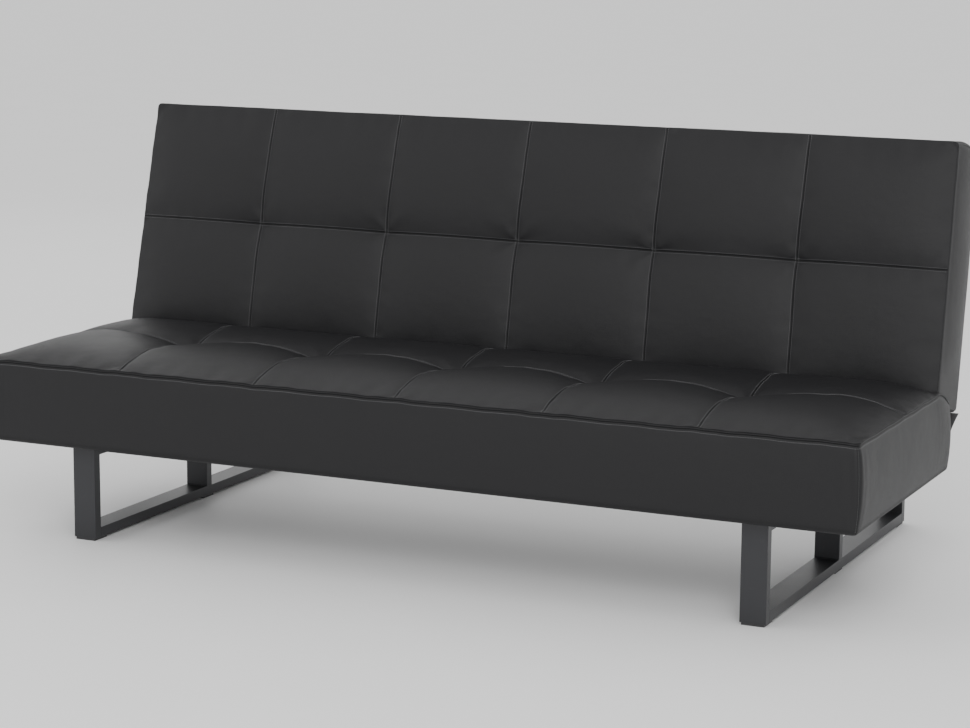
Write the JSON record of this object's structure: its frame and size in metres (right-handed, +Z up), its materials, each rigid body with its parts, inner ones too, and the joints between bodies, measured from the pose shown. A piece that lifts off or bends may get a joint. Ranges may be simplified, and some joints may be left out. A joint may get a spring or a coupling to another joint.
{
  "type": "click-clack sofa bed",
  "caption": "Click-clack sofa bed with tufted black faux leather pads on steel sled legs; the back pad folds down level with the seat on ratchet hinges to make a bed.",
  "frame": {"origin": "middle of the sofa's footprint, on the floor under the glides", "axes": "+X along the sofa to the right of someone facing its front, +Y from the front of the seat to the rear, +Z up"},
  "size_m": [1.8, 0.93, 0.8276],
  "materials": {
    "cover": "satin",
    "foam": "matte",
    "felt": "matte",
    "lining": "matte",
    "timber": "matte",
    "spring_wire": "satin",
    "clip": "matte",
    "cord": "matte",
    "leg_paint": "satin",
    "glide": "matte",
    "rubber_pad": "matte",
    "zinc": "satin",
    "ratchet_steel": "satin"
  },
  "bodies": {
    "seat": {"seat_cover": "cover", "seat_foam": "foam", "seat_rear_roll": "cover", "seat_edge_foam": "foam", "seat_spring_felt": "felt", "seat_springs": "spring_wire", "seat_spring_clips": "clip", "seat_front_rail": "timber", "seat_rear_rail": "timber", "seat_left_rail": "timber", "seat_right_rail": "timber", "seat_cross_rails": "timber", "seat_corner_blocks": "timber", "seat_dust_cover": "lining", "seat_tuft_ties": "cord", "left_leg_uprights": "leg_paint", "right_leg_uprights": "leg_paint", "left_leg_rails": "leg_paint", "right_leg_rails": "leg_paint", "leg_glides": "glide", "leg_bolts": "zinc", "leg_washers": "zinc", "leg_t_nuts": "zinc", "bed_rest_pads": "rubber_pad", "hinge_flap": "lining", "left_hinge_seat_arm": "zinc", "right_hinge_seat_arm": "zinc", "left_hinge_cam": "ratchet_steel", "right_hinge_cam": "ratchet_steel", "hinge_pivot_bolts": "zinc", "hinge_pivot_nuts": "zinc", "seat_arm_screws": "zinc"},
    "back": {"back_cover": "cover", "back_foam": "foam", "back_edge_foam": "foam", "back_spring_felt": "felt", "back_springs": "spring_wire", "back_spring_clips": "clip", "back_top_rail": "timber", "back_bottom_rail": "timber", "back_left_rail": "timber", "back_right_rail": "timber", "back_cross_rails": "timber", "back_corner_blocks": "timber", "back_rear_panel": "lining", "back_tuft_ties": "cord", "left_hinge_back_arm": "zinc", "right_hinge_back_arm": "zinc", "back_arm_screws": "zinc", "pawl_pins": "zinc", "left_pawl_spring": "spring_wire", "right_pawl_spring": "spring_wire"},
    "left_pawl": {"left_hinge_pawl": "ratchet_steel"},
    "right_pawl": {"right_hinge_pawl": "ratchet_steel"}
  },
  "joints": [
    {"name": "back_fold", "type": "hinge", "parent": "seat", "child": "back", "pos_m": [0, 0.117, 0.292], "axis": [-1, 0, 0], "range_deg": [-10, 76.5], "deforming": ["seat_rear_roll", "hinge_flap"]},
    {"name": "left_pawl_lift", "type": "hinge", "parent": "back", "child": "left_pawl", "pos_m": [-0.8529, 0.15566, 0.3074], "axis": [-1, 0, 0], "range_deg": [-0.7, 5.1]},
    {"name": "right_pawl_lift", "type": "hinge", "parent": "back", "child": "right_pawl", "pos_m": [0.8529, 0.15566, 0.3074], "axis": [-1, 0, 0], "range_deg": [-0.7, 5.1]}
  ],
  "couplings": [
    {"joint": "left_pawl_lift", "follows": "back_fold", "ratio": 0.0657},
    {"joint": "right_pawl_lift", "follows": "back_fold", "ratio": 0.0657}
  ]
}
